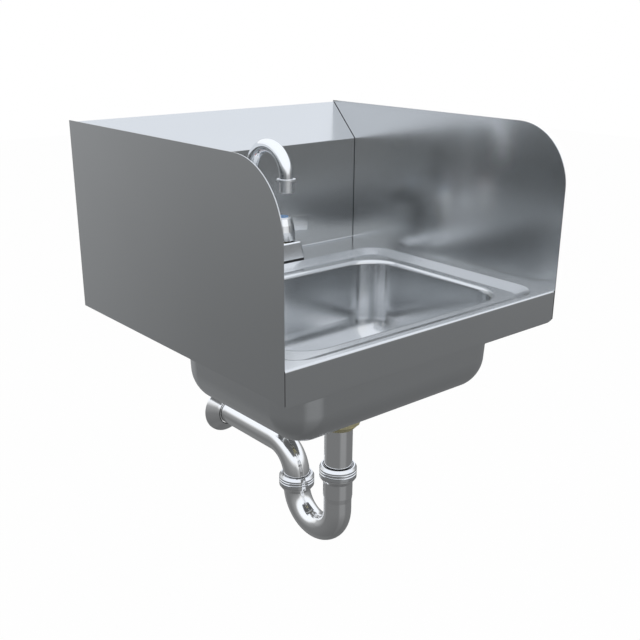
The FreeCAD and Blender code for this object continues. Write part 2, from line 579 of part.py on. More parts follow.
def strainer_basket():
    """Lift-out crumb cup: rim, straight wall and a floor with drain holes."""
    cup = DRAIN_BORE_RADIUS - BASKET_CLEARANCE
    inner = cup - BASKET_SHEET
    floor = cup - BASKET_BEND
    floor_z = BASKET_FLOOR_Z
    basket = turned(0, BOWL_Y, [
        (0, floor_z), (floor, floor_z), (cup, floor_z + BASKET_BEND), (cup, BASKET_RIM_Z),
        (BASKET_RIM_RADIUS, BASKET_RIM_Z), (BASKET_RIM_RADIUS, DRAIN_TOP_Z - BASKET_SHEET / 2),
        (inner, BASKET_RIM_Z + BASKET_SHEET), (inner, floor_z + BASKET_BEND), (floor, floor_z + BASKET_SHEET),
        (0, floor_z + BASKET_SHEET)])
    for row in (1, 2):
        count = BASKET_INNER_HOLES * row
        circle = floor * 0.4 * row
        for index in range(count):
            angle = 2 * math.pi * index / count
            x = circle * math.cos(angle)
            y = BOWL_Y + circle * math.sin(angle)
            basket = basket.cut(rod(BASKET_HOLE_RADIUS, x, y, floor_z, floor_z + BASKET_SHEET))
    return basket


def strainer_knob():
    """Pull knob riveted to the basket's floor."""
    foot = BASKET_FLOOR_Z + BASKET_SHEET
    top = DRAIN_TOP_Z + KNOB_PROUD
    stem = KNOB_STEM_RADIUS
    return turned(0, BOWL_Y, [
        (0, foot), (stem + KNOB_EDGE, foot), (stem, foot + KNOB_EDGE), (stem, top - KNOB_HEIGHT),
        (KNOB_RADIUS, top - KNOB_HEIGHT / 2), (KNOB_RADIUS, top - KNOB_EDGE), (KNOB_RADIUS - KNOB_EDGE, top),
        (0, top)])


def tailpiece():
    """Flanged tube from the drain to the trap."""
    top = TAIL_FLANGE_TOP_Z
    return turned(0, BOWL_Y, [
        (TUBE_BORE, TAIL_END_Z), (TUBE_RADIUS, TAIL_END_Z), (TUBE_RADIUS, TAIL_FLANGE_Z),
        (TAIL_FLANGE_RADIUS, TAIL_FLANGE_Z), (TAIL_FLANGE_RADIUS, top), (TUBE_BORE, top)])


def coupling_nut():
    """Brass nut that clamps the tailpiece's flange to the drain body."""
    top = DRAIN_END_Z + COUPLING_ENGAGEMENT
    foot = TAIL_FLANGE_Z - COUPLING_TAPER
    bore = DRAIN_BODY_RADIUS + THREAD_CLEARANCE
    corner = bore + COUPLING_WALL
    land = TAIL_FLANGE_Z - COUPLING_CHAMFER
    tube = TUBE_RADIUS + SLIP_CLEARANCE
    outside = prism(COUPLING_SIDES, corner, 0, BOWL_Y, land, top, COUPLING_CHAMFER)
    cone = turned(0, BOWL_Y, [(0, land), (corner - COUPLING_CHAMFER, land), (tube + COUPLING_FOOT_WALL, foot),
                              (0, foot)])
    thread = rod(bore, 0, BOWL_Y, TAIL_FLANGE_Z, top)
    return outside.fuse(cone).cut(thread).cut(rod(tube, 0, BOWL_Y, foot, top)).removeSplitter()


# ---- trap ------------------------------------------------------------------------------------
def threaded_collar(top):
    """Outline of one end of the J-bend: threaded spigot, land and taper down to the tube."""
    land = top - SPIGOT_HEIGHT
    return [(SOCKET_RADIUS, top), (SPIGOT_RADIUS, top), (SPIGOT_RADIUS, land), (COLLAR_RADIUS, land),
            (COLLAR_RADIUS, land - COLLAR_LAND), (SLEEVE_RADIUS, land - COLLAR_LAND - COLLAR_TAPER)]


def j_bend():
    """U-shaped trap bend with an expanded inlet sleeve and a threaded collar at each end."""
    taper_end = SLEEVE_END_Z - SLEEVE_TAPER
    start = vec(0, BOWL_Y, taper_end)
    inlet_foot = vec(0, BOWL_Y, TRAP_ARC_Z)
    lowest = vec(0, BOWL_Y + TRAP_BEND_RADIUS, TRAP_ARC_Z - TRAP_BEND_RADIUS)
    outlet_foot = vec(0, TRAP_OUTLET_Y, TRAP_ARC_Z)
    path = Part.Wire([Part.LineSegment(start, inlet_foot).toShape(),
                      Part.Arc(inlet_foot, lowest, outlet_foot).toShape()])
    bend = swept_tube(path, start, vec(0, 0, -1), TUBE_RADIUS, TUBE_BORE)
    inlet = turned(0, BOWL_Y, threaded_collar(INLET_TOP_Z) + [
        (SLEEVE_RADIUS, SLEEVE_END_Z), (TUBE_RADIUS, taper_end), (TUBE_BORE, taper_end),
        (SOCKET_RADIUS, SLEEVE_END_Z - SLEEVE_FLOOR)])
    floor_z = ARM_END_Z - SLEEVE_FLOOR
    outlet = turned(0, TRAP_OUTLET_Y, threaded_collar(OUTLET_TOP_Z) + [
        (TUBE_BORE, TRAP_ARC_Z), (TUBE_BORE, floor_z), (SOCKET_RADIUS, floor_z)])
    return bend.fuse([inlet, outlet]).removeSplitter()


def slip_nut(y, top):
    """Slip nut with two beads, over a collar whose top is at the given height."""
    washer_top = top + SLIP_WASHER_THICKNESS
    nut_top = washer_top + SLIP_NUT_LIP
    foot = top - SPIGOT_HEIGHT + SLIP_NUT_COLLAR_GAP
    thread = SPIGOT_RADIUS + THREAD_CLEARANCE
    rim = thread + SLIP_NUT_WALL
    bore = TUBE_RADIUS + SLIP_NUT_CLEARANCE
    outside = [(bore, nut_top), (thread, nut_top), (rim, nut_top - SLIP_NUT_SHOULDER)]
    root = rim - SLIP_NUT_GROOVE
    for bead in range(1, SLIP_NUT_BEADS + 1):
        groove_z = nut_top - SLIP_NUT_SHOULDER - bead * SLIP_NUT_BEAD
        middle = groove_z + SLIP_NUT_GROOVE
        outside += [(rim, middle + SLIP_NUT_GROOVE), (root, middle), (rim, groove_z)]
    inside = [(rim, foot), (thread, foot), (thread, washer_top), (bore, washer_top)]
    return turned(0, y, outside + inside)


def slip_washer(y, top):
    """Rubber washer squeezed on the collar's end."""
    return ring(SPIGOT_RADIUS, TUBE_RADIUS + SLIP_WASHER_CLEARANCE, 0, y, top, top + SLIP_WASHER_THICKNESS)


def trap_arm():
    """Tube from the wall, with one bend down into the J-bend's outlet."""
    start = vec(0, TRAP_ARM_IN_WALL, TRAP_ARM_Z)
    path = rounded_path([start, vec(0, TRAP_OUTLET_Y, TRAP_ARM_Z), vec(0, TRAP_OUTLET_Y, ARM_END_Z)],
                        [TRAP_BEND_RADIUS])
    return swept_tube(path, start, vec(0, 1, 0), TUBE_RADIUS, TUBE_BORE)


def wall_escutcheon():
    """Flared cover that slides along the trap arm to the wall."""
    neck = TUBE_RADIUS + ESCUTCHEON_CLEARANCE
    rim = TUBE_RADIUS + ESCUTCHEON_LIP
    thin = ESCUTCHEON_SHEET
    front = ESCUTCHEON_DEPTH
    shell = turned(0, 0, [
        (rim - thin, 0), (rim, 0), (rim, ESCUTCHEON_RIM), (neck + ESCUTCHEON_FLARE, front - ESCUTCHEON_RIM),
        (neck + thin, front), (neck + thin, front + ESCUTCHEON_NECK), (neck, front + ESCUTCHEON_NECK),
        (neck, front - thin), (rim - thin, ESCUTCHEON_RIM - thin)])
    shell.rotate(vec(0, 0, 0), vec(1, 0, 0), 90)
    shell.translate(vec(0, 0, TRAP_ARM_Z))
    return shell


# ---- faucet ----------------------------------------------------------------------------------
def faucet_blank(height, shrink):
    """Tapered block of the faucet body, shrunk on every side."""
    half_x = BODY_LENGTH / 2 - BODY_SIDE_TAPER - shrink
    half_y = BODY_WIDTH / 2 - BODY_FACE_TAPER - shrink
    top = BODY_FOOT_Z + height
    blank = frustum(half_x, half_y, FAUCET_Y, top, height, -BODY_SIDE_TAPER, -BODY_FACE_TAPER)
    radius = max(BODY_CORNER_RADIUS - shrink, 1)
    return blank.makeFillet(radius, slanted_edges(blank, height))


def faucet_body():
    """Hollow cast body with a boss for each valve, a spout socket and the waterway between them."""
    body = faucet_blank(BODY_HEIGHT, 0)
    body = body.makeFillet(BODY_TOP_RADIUS, edges_at(body, BODY_TOP_Z))
    body = body.cut(faucet_blank(BODY_HEIGHT - BODY_WALL, BODY_WALL))
    gallery_x = HANDLE_X - CARTRIDGE_RADIUS / 2
    gallery = [Part.makeCylinder(radius, 2 * gallery_x, vec(-gallery_x, FAUCET_Y, GALLERY_Z), vec(1, 0, 0))
               for radius in (GALLERY_BORE_RADIUS, GALLERY_BORE_RADIUS + GALLERY_WALL)]
    boss_top = BODY_TOP_Z - BODY_WALL / 2
    bosses = [rod(BOSS_RADIUS, x, FAUCET_Y, BODY_FOOT_Z, boss_top) for x in (-HANDLE_X, 0, HANDLE_X)]
    bosses.append(rod(SPOUT_BOSS_RADIUS, 0, FAUCET_Y, boss_top, SPOUT_BOSS_TOP_Z))
    body = body.fuse(bosses + gallery[1:])
    floor_z = GALLERY_Z - GALLERY_BORE_RADIUS - SPOUT_SUMP_DEPTH
    mouth = SPOUT_COLLAR_RADIUS + PART_CLEARANCE
    body = body.cut(gallery[0])
    body = body.cut(turned(0, FAUCET_Y, [
        (0, floor_z), (SPOUT_SOCKET_RADIUS, floor_z), (SPOUT_SOCKET_RADIUS, THRUST_RING_Z),
        (mouth, THRUST_RING_Z), (mouth, SPOUT_BOSS_TOP_Z), (0, SPOUT_BOSS_TOP_Z)]))
    shank = SHANK_RADIUS + THREAD_CLEARANCE
    cartridge = CARTRIDGE_RADIUS + THREAD_CLEARANCE
    for x in (-HANDLE_X, HANDLE_X):
        body = body.cut(turned(x, FAUCET_Y, [
            (0, BODY_FOOT_Z), (shank, BODY_FOOT_Z), (shank, SHANK_TOP_Z), (PORT_RADIUS, SHANK_TOP_Z),
            (PORT_RADIUS, CARTRIDGE_FLOOR_Z), (cartridge, CARTRIDGE_FLOOR_Z), (cartridge, BODY_TOP_Z),
            (0, BODY_TOP_Z)]))
    return body.removeSplitter()


def base_gasket():
    """Flat gasket under the faucet body."""
    blank = faucet_blank(BODY_HEIGHT, 0)
    foot = Part.Wire(Part.__sortEdges__(edges_at(blank, BODY_FOOT_Z)))
    gasket = Part.Face(foot).extrude(vec(0, 0, -BASE_GASKET_THICKNESS))
    for x in (-HANDLE_X, 0, HANDLE_X):
        gasket = gasket.cut(rod(FAUCET_HOLE_RADIUS - BASE_GASKET_LAP, x, FAUCET_Y, 0, BODY_FOOT_Z))
    return gasket


def supply_shank(x):
    """Inlet tail under one handle, with a relief between its two threads."""
    bore = SHANK_RADIUS - SHANK_WALL
    relief = SHANK_RADIUS - SHANK_RELIEF_DEPTH
    end_z = -SHANK_LENGTH
    relief_z = end_z + SUPPLY_THREAD
    mounting_z = relief_z + SHANK_RELIEF_WIDTH
    return turned(x, FAUCET_Y, [
        (bore, end_z), (SHANK_RADIUS, end_z), (SHANK_RADIUS, relief_z), (relief, relief_z),
        (relief, mounting_z), (SHANK_RADIUS, mounting_z), (SHANK_RADIUS, SHANK_TOP_Z), (bore, SHANK_TOP_Z)])


def shank_washer(x):
    low = -SHEET - SHANK_WASHER_THICKNESS
    outer = FAUCET_HOLE_RADIUS + SHANK_WASHER_LAP
    return ring(outer, SHANK_RADIUS + PART_CLEARANCE, x, FAUCET_Y, low, -SHEET)


def shank_nut(x):
    top = -SHEET - SHANK_WASHER_THICKNESS
    bottom = top - SHANK_NUT_HEIGHT
    bore = SHANK_RADIUS + THREAD_CLEARANCE
    nut = prism(6, bore + SHANK_NUT_WALL, x, FAUCET_Y, bottom, top, SHANK_NUT_CHAMFER)
    return nut.cut(rod(bore, x, FAUCET_Y, bottom, top))


# ---- valves and handles ------------------------------------------------------------------------
def cartridge_body(x):
    """Brass sleeve with hexagon and neck that guides the stem."""
    bore = CARTRIDGE_RADIUS - CARTRIDGE_WALL
    foot_top = STEM_SHOULDER_Z + RUNNING_CLEARANCE
    stem_bore = STEM_RADIUS + RUNNING_CLEARANCE
    sleeve = turned(x, FAUCET_Y, [
        (bore, FIXED_DISC_Z), (CARTRIDGE_RADIUS, FIXED_DISC_Z), (CARTRIDGE_RADIUS, BODY_TOP_Z),
        (BONNET_NECK_RADIUS, BODY_TOP_Z), (BONNET_NECK_RADIUS, NECK_TOP_Z), (stem_bore, NECK_TOP_Z),
        (stem_bore, foot_top), (bore, foot_top)])
    hexagon = prism(6, BONNET_RADIUS, x, FAUCET_Y, BODY_TOP_Z, BONNET_TOP_Z, BONNET_CHAMFER)
    hexagon = hexagon.cut(rod(stem_bore, x, FAUCET_Y, BODY_TOP_Z, BONNET_TOP_Z))
    window = Part.makeCylinder(WINDOW_RADIUS, CARTRIDGE_RADIUS + 1, vec(x, FAUCET_Y, GALLERY_Z),
                               vec(-math.copysign(1, x), 0, 0))
    return sleeve.fuse(hexagon).cut(window).removeSplitter()


def valve_stem(x):
    """Stem with a driving foot. Its top takes the handle screw."""
    stem = turned(x, FAUCET_Y, [
        (0, STEM_FOOT_Z), (DISC_RADIUS, STEM_FOOT_Z), (DISC_RADIUS, STEM_SHOULDER_Z),
        (STEM_RADIUS, STEM_SHOULDER_Z), (STEM_RADIUS, STEM_TOP_Z), (0, STEM_TOP_Z)])
    return stem.cut(rod(HANDLE_SCREW_RADIUS, x, FAUCET_Y, STEM_TOP_Z - HANDLE_SCREW_LENGTH, STEM_TOP_Z))


def disc_with_port(x, low):
    """Ceramic disc with one off-centre port."""
    port = rod(DISC_PORT_RADIUS, x, FAUCET_Y + DISC_PORT_OFFSET, low, low + DISC_THICKNESS)
    return rod(DISC_RADIUS, x, FAUCET_Y, low, low + DISC_THICKNESS).cut(port)


def seat_seal(x):
    outer = CARTRIDGE_RADIUS - SEAT_SEAL_CLEARANCE
    return ring(outer, PORT_RADIUS + SEAT_SEAL_CLEARANCE, x, FAUCET_Y, CARTRIDGE_FLOOR_Z, FIXED_DISC_Z)


def hub(x):
    """Solid bell of the handle's hub."""
    waist_radius = HUB_FOOT_RADIUS - HUB_SKIRT_TAPER
    neck_radius = HUB_FOOT_RADIUS - HUB_SHOULDER_TAPER
    edge_z = HUB_TOP_Z - HUB_EDGE
    return turned(x, FAUCET_Y, [
        (0, HUB_FOOT_Z), (HUB_FOOT_RADIUS, HUB_FOOT_Z), (waist_radius, HUB_FOOT_Z + HUB_SKIRT),
        (neck_radius, HUB_TOP_Z - HUB_SHOULDER), (HUB_FOOT_RADIUS - HUB_EDGE_TAPER, edge_z),
        (CAP_RADIUS + HUB_TOP_RIM, HUB_TOP_Z), (0, HUB_TOP_Z)])


def lever(side):
    """Upright blade that tapers and droops a little towards its tip."""
    length = LEVER_REACH
    root, tip = LEVER_ROOT_THICKNESS / 2, LEVER_TIP_THICKNESS / 2
    outline = [vec(0, -root, 0), vec(length - tip, -tip, 0), vec(length - tip, tip, 0), vec(0, root, 0)]
    sides = Part.makePolygon(outline[2:] + outline[:2]).Edges
    nose = Part.Arc(outline[1], vec(length, 0, 0), outline[2]).toShape()
    blade = Part.Face(Part.Wire(sides + [nose])).extrude(vec(0, 0, LEVER_HEIGHT))
    blade.translate(vec(0, 0, -LEVER_HEIGHT))
    blade.rotate(vec(0, 0, 0), vec(0, 1, 0), LEVER_DROOP)
    if side < 0:
        blade.rotate(vec(0, 0, 0), vec(0, 0, 1), 180)
    blade.translate(vec(side * HANDLE_X, FAUCET_Y, HUB_TOP_Z - LEVER_BELOW_TOP))
    return blade


def handle(side):
    """Hub and lever in one casting, bored for the stem and its screw."""
    x = side * HANDLE_X
    cavity_top = HUB_TOP_Z - HUB_CROWN
    cavity = turned(x, FAUCET_Y, [
        (0, BODY_TOP_Z), (HUB_CAVITY_RADIUS, BODY_TOP_Z), (HUB_CAVITY_RADIUS, BONNET_TOP_Z + PART_CLEARANCE),
        (BONNET_NECK_RADIUS + 1, cavity_top), (0, cavity_top)])
    bore = rod(STEM_RADIUS, x, FAUCET_Y, cavity_top, STEM_TOP_Z)
    recess = rod(SCREW_RECESS_RADIUS, x, FAUCET_Y, STEM_TOP_Z, HUB_TOP_Z)
    return hub(x).fuse(lever(side)).cut(cavity).cut(bore).cut(recess).removeSplitter()


def handle_screw(x):
    """Pan head screw into the stem."""
    head = rod(HANDLE_SCREW_HEAD_RADIUS, x, FAUCET_Y, STEM_TOP_Z, STEM_TOP_Z + HANDLE_SCREW_HEAD_HEIGHT)
    tip = STEM_TOP_Z - HANDLE_SCREW_LENGTH + HANDLE_SCREW_TIP_GAP
    return head.fuse(rod(HANDLE_SCREW_RADIUS, x, FAUCET_Y, tip, STEM_TOP_Z)).removeSplitter()


def index_cap(x):
    """Coloured disc pressed into the top of the hub."""
    plug_z = HUB_TOP_Z - CAP_PLUG_DEPTH
    top = HUB_TOP_Z + CAP_HEIGHT
    edge = CAP_HEIGHT / 2
    plug = SCREW_RECESS_RADIUS
    return turned(x, FAUCET_Y, [
        (0, plug_z), (plug, plug_z), (plug, HUB_TOP_Z), (CAP_RADIUS, HUB_TOP_Z), (CAP_RADIUS, top - edge),
        (CAP_RADIUS - edge, top), (0, top)])


# ---- spout -----------------------------------------------------------------------------------
def o_ring_heights():
    lowest = SPOUT_FOOT_Z + O_RING_FROM_END
    return [lowest + index * O_RING_SPACING for index in range(O_RING_COUNT)]


def spout():
    """Gooseneck tube with a grooved foot and a thrust collar."""
    start = vec(0, FAUCET_Y, SPOUT_COLLAR_Z)
    back = vec(0, FAUCET_Y, SPOUT_ARC_CENTRE)
    crown = vec(0, FAUCET_Y - SPOUT_BEND_RADIUS, SPOUT_ARC_CENTRE + SPOUT_BEND_RADIUS)
    front = vec(0, SPOUT_OUTLET_Y, SPOUT_ARC_CENTRE)
    end = vec(0, SPOUT_OUTLET_Y, AERATOR_FLANGE_HEIGHT)
    path = Part.Wire([Part.LineSegment(start, back).toShape(), Part.Arc(back, crown, front).toShape(),
                      Part.LineSegment(front, end).toShape()])
    tube = swept_tube(path, start, vec(0, 0, 1), SPOUT_RADIUS, SPOUT_BORE)
    profile = [(SPOUT_BORE, SPOUT_FOOT_Z), (SPOUT_FOOT_RADIUS, SPOUT_FOOT_Z)]
    groove = SPOUT_FOOT_RADIUS - O_RING_GROOVE_DEPTH
    half = O_RING_GROOVE_WIDTH / 2
    for middle in o_ring_heights():
        profile += [(SPOUT_FOOT_RADIUS, middle - half), (groove, middle - half), (groove, middle + half),
                    (SPOUT_FOOT_RADIUS, middle + half)]
    profile += [(SPOUT_FOOT_RADIUS, SPOUT_COLLAR_Z), (SPOUT_COLLAR_RADIUS, SPOUT_COLLAR_Z),
                (SPOUT_COLLAR_RADIUS, SPOUT_COLLAR_TOP_Z), (SPOUT_BORE, SPOUT_COLLAR_TOP_Z)]
    return tube.fuse(turned(0, FAUCET_Y, profile)).removeSplitter()


def spout_o_ring(z):
    """O-ring in a groove of the spout's foot, just inside the socket wall."""
    middle = SPOUT_FOOT_RADIUS - O_RING_SECTION
    turn = 2 * math.pi / O_RING_SIDES
    section = [(middle + O_RING_SECTION * math.cos(turn * i), z + O_RING_SECTION * math.sin(turn * i))
               for i in range(O_RING_SIDES)]
    return turned(0, FAUCET_Y, section)


def thrust_ring():
    """Plastic ring that the spout's collar turns on."""
    inner = SPOUT_SOCKET_RADIUS + PART_CLEARANCE
    return ring(SPOUT_COLLAR_RADIUS, inner, 0, FAUCET_Y, THRUST_RING_Z, SPOUT_COLLAR_Z)


def spout_nut():
    """Domed nut that holds the spout's collar down."""
    foot = BODY_TOP_Z + PART_CLEARANCE
    top = foot + SPOUT_NUT_HEIGHT
    lid = SPOUT_BOSS_TOP_Z + PART_CLEARANCE
    bore = SPOUT_RADIUS + PART_CLEARANCE
    thread = SPOUT_BOSS_RADIUS + THREAD_CLEARANCE
    neck = SPOUT_NUT_TOP_RADIUS
    return turned(0, FAUCET_Y, [
        (thread, foot), (SPOUT_NUT_RADIUS, foot), (SPOUT_NUT_RADIUS, foot + SPOUT_NUT_SKIRT),
        (neck, top - SPOUT_NUT_EDGE), (neck - SPOUT_NUT_EDGE, top), (bore, top), (bore, lid), (thread, lid)])


def aerator_housing():
    """Flanged sleeve with a neck that screws into the spout's end."""
    flange_top = AERATOR_FLANGE_HEIGHT
    flange_low = flange_top - AERATOR_FLANGE_THICKNESS
    neck_top = flange_top + AERATOR_NECK_HEIGHT
    neck = SPOUT_BORE - AERATOR_NECK_CLEARANCE
    neck_bore = neck - AERATOR_NECK_WALL
    flange = AERATOR_RADIUS + AERATOR_FLANGE_LIP
    bottom = AERATOR_BOTTOM_Z
    return turned(0, SPOUT_OUTLET_Y, [
        (AERATOR_BORE, bottom), (AERATOR_RADIUS - AERATOR_EDGE, bottom),
        (AERATOR_RADIUS, bottom + AERATOR_EDGE), (AERATOR_RADIUS, flange_low), (flange, flange_low),
        (flange, flange_top), (neck, flange_top),
        (neck, neck_top), (neck_bore, neck_top), (neck_bore, flange_low), (AERATOR_BORE, flange_low)])


def aerator_insert():
    """Jet former inside the housing."""
    low = AERATOR_BOTTOM_Z + AERATOR_INSERT_RECESS
    high = low + AERATOR_INSERT_HEIGHT
    insert = rod(AERATOR_BORE, 0, SPOUT_OUTLET_Y, low, high)
    for index in range(AERATOR_JETS):
        angle = 2 * math.pi * index / AERATOR_JETS
        x = AERATOR_JET_CIRCLE * math.cos(angle)
        y = SPOUT_OUTLET_Y + AERATOR_JET_CIRCLE * math.sin(angle)
        insert = insert.cut(rod(AERATOR_JET_RADIUS, x, y, low, high))
    return insert


# ---- nodes -----------------------------------------------------------------------------------
os.makedirs("parts", exist_ok=True)

save("basin", basin())
save("backsplash", backsplash())
save("left_side_splash", side_splash(-1))
save("right_side_splash", side_splash(1))
save("wall_bracket", wall_bracket())

save("drain_body", drain_body())
save("drain_flange_seal", ring(DRAIN_FLANGE_RADIUS - DRAIN_SEAT_EDGE, DRAIN_HOLE_RADIUS, 0, BOWL_Y,
                               SEAT_Z, DRAIN_FLANGE_Z))
save("drain_gasket", ring(DRAIN_GASKET_RADIUS, DRAIN_BODY_RADIUS, 0, BOWL_Y, WASHER_TOP_Z, GASKET_TOP_Z))
save("drain_friction_washer", ring(DRAIN_GASKET_RADIUS, DRAIN_BODY_RADIUS + PART_CLEARANCE, 0, BOWL_Y,
                                   LOCKNUT_TOP_Z, WASHER_TOP_Z))
save("drain_locknut", drain_locknut())
save("strainer_basket", strainer_basket())
save("strainer_knob", strainer_knob())
save("tailpiece_washer", ring(TAIL_FLANGE_RADIUS, TAIL_WASHER_BORE, 0, BOWL_Y,
                              TAIL_FLANGE_TOP_Z, DRAIN_END_Z))
save("tailpiece", tailpiece())
save("tailpiece_coupling_nut", coupling_nut())

save("j_bend", j_bend())
save("trap_arm", trap_arm())
save("inlet_slip_nut", slip_nut(BOWL_Y, INLET_TOP_Z))
save("inlet_slip_washer", slip_washer(BOWL_Y, INLET_TOP_Z))
save("outlet_slip_nut", slip_nut(TRAP_OUTLET_Y, OUTLET_TOP_Z))
save("outlet_slip_washer", slip_washer(TRAP_OUTLET_Y, OUTLET_TOP_Z))
save("wall_escutcheon", wall_escutcheon())

save("faucet_base_gasket", base_gasket())
save("faucet_body", faucet_body())
save("shank_washers", Part.Compound([shank_washer(x) for x in (-HANDLE_X, HANDLE_X)]))
save("shank_locknuts", Part.Compound([shank_nut(x) for x in (-HANDLE_X, HANDLE_X)]))
for label, side in (("hot", -1), ("cold", 1)):
    handle_x = side * HANDLE_X
    save(label + "_supply_shank", supply_shank(handle_x))
    save(label + "_cartridge_body", cartridge_body(handle_x))
    save(label + "_seat_seal", seat_seal(handle_x))
    save(label + "_fixed_disc", disc_with_port(handle_x, FIXED_DISC_Z))
    save(label + "_moving_disc", disc_with_port(handle_x, MOVING_DISC_Z))
    save(label + "_valve_stem", valve_stem(handle_x))
    save(label + "_handle", handle(side))
    save(label + "_handle_screw", handle_screw(handle_x))
    save(label + "_index_cap", index_cap(handle_x))

save("spout", spout())
save("spout_o_rings", Part.Compound([spout_o_ring(z) for z in o_ring_heights()]))
save("spout_thrust_ring", thrust_ring())
save("spout_nut", spout_nut())
save("aerator_housing", aerator_housing())
save("aerator_insert", aerator_insert())
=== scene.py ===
"""Looks of the wall-hung stainless steel hand wash sink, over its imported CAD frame. Metres."""

import json
import math

import bpy
from mathutils import Matrix, Vector


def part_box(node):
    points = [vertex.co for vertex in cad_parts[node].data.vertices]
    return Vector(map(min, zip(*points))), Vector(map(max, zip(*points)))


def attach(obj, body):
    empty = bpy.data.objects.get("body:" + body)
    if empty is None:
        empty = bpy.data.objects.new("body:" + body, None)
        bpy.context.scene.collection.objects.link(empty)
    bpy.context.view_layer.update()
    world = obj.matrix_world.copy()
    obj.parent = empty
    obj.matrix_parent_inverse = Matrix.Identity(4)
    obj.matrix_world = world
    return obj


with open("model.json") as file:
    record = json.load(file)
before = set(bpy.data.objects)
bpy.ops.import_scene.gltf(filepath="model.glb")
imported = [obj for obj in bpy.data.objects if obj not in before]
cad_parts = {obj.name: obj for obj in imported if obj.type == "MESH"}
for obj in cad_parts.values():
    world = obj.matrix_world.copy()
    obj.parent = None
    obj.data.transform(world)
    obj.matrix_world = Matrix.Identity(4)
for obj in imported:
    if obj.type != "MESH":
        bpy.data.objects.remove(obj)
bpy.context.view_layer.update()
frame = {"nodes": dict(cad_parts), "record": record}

# ---- camera, solved from the sheet's edges in the photograph --------------------------------
CAMERA_PLACE = Vector((-0.7247, -1.0795, 0.1939))
CAMERA_AZIMUTH = 39.46            # degrees from +Y towards +X
CAMERA_PITCH = 20.35              # degrees below the horizon
CAMERA_ROLL = 0.08                # degrees
SENSOR_WIDTH = 36.0               # millimetres, as the lens is
LENS = 50.79
SHIFT_X = 0.0225
SHIFT_Y = 0.0417
CLIP_START, CLIP_END = 0.05, 50

# ---- what the metal mirrors -----------------------------------------------------------------
# A dim room under a bright ceiling, which comes lower at the front and the back than at the sides.
# Pairs of the sine of the height above the horizon and the light's level.
SKY_SIDES = ((-1.0, 0.15), (-0.6, 0.185), (-0.34, 0.20), (-0.17, 0.265), (0.04, 0.34),
             (0.10, 0.44), (0.19, 0.73), (0.25, 0.93), (0.32, 1.06), (0.9, 1.11))
SKY_ENDS = ((-1.0, 0.165), (-0.7, 0.22), (-0.42, 0.30), (-0.17, 0.41), (-0.02, 0.47),
            (0.035, 0.66), (0.14, 0.97), (0.24, 1.06), (0.9, 1.11))
SKY_TINT_LOW = (0.98, 1.00, 1.02)
SKY_TINT_HIGH = (0.96, 1.00, 1.07)
SKY_TINT_SINE = 0.3               # the high tint starts above this height
SKY_TURN = (0.84, 0.96)           # share of Y in a level direction, from the sides to the ends

# ---- backdrop and lamps ---------------------------------------------------------------------
WHITE = (1, 1, 1)
PLAIN_LIGHT = (0.80, 0.80, 0.80)  # what lights the surfaces that aren't metal
FLOOR_DROP = 0.38                 # floor below the lowest point of the trap
FLOOR_SIZE = 14.0
FLOOR_COLOR = (0.86, 0.86, 0.86)
FLOOR_WHITE = 0.97                # share of plain white in the floor, seen by the camera
# name, place, point that it faces, width, height, watts
SOFTBOXES = (
    ("overhead", (0.0, -0.4, 1.7), (0, -0.25, 0), 1.8, 1.4, 2.5),
    ("left", (-1.7, -0.9, 0.75), (0, -0.15, -0.05), 1.6, 1.2, 6.0),
    ("front", (-0.2, -1.8, 1.35), (0, -0.15, 0.0), 1.4, 0.8, 6.0),
)

# ---- surfaces -------------------------------------------------------------------------------
EVEN = (1, 1, 1)                  # coordinates that aren't stretched
NOISE_LOW, NOISE_HIGH = 0.3, 0.7  # where most of a noise's values lie

STROKE_SCALE = 2200.0             # brushed strokes about 0.4 mm wide
STROKE_DETAIL = 1.0
STROKE_BUMP = (0.02, 0.00003)     # a bump's strength and distance
CLOUD_SCALE = 9.0
ANISOTROPY = 0.4
ANISOTROPY_TURN = 0.25
ALONG_X, STRETCH_X = (1, 0, 0), (0.02, 1, 1)
ALONG_Y, STRETCH_Y = (0, 1, 0), (1, 0.02, 1)

POLISH_CLOUDS = 14.0
POLISH_FINE = 900.0
POLISH_BUMP = (0.02, 0.001)

DULL_CLOUDS = 25.0
DULL_FINE = 320.0
DULL_DETAIL = 4.0
DULL_BUMP = (0.15, 0.0003)
CAST_FINE = 120.0

# ---- sizes of the pieces that only the looks need -------------------------------------------
SPLASH_SETBACK = 0.0508           # backsplash face to wall
SLOPE_RISE = 0.0520
SPLASH_RISE = 0.1524              # deck to the foot of the slope
SPLASH_BELOW_SLOPE = 0.0002       # top of the side splashes under the slope's corner
SLOPE_END = 0.0028                # slope's last stretch, that bends down to the wall
# beads in the backsplash's corners, near black as painted shade in the joint
BEAD_SIZE = 0.0009
BEAD_STEPS = 4
BEAD_SUNK = 0.00005               # how far a bead's corner goes into the sheets
# strips at the front corners, near black as painted shade in the gap at the apron's ends
FRONT_GAP_SHADE = 0.0006
FRONT_GAP_SHADE_SIDES = 12
RING_RADIUS = 0.0206
RING_SEGMENTS, RING_SIDES = 64, 8
# ring widths: the inlet washer's lip, and the escutcheon's ring of painted shade
DARK_RING_WIDTH = 0.0006
WASHER_LIP_THIN = 0.00036


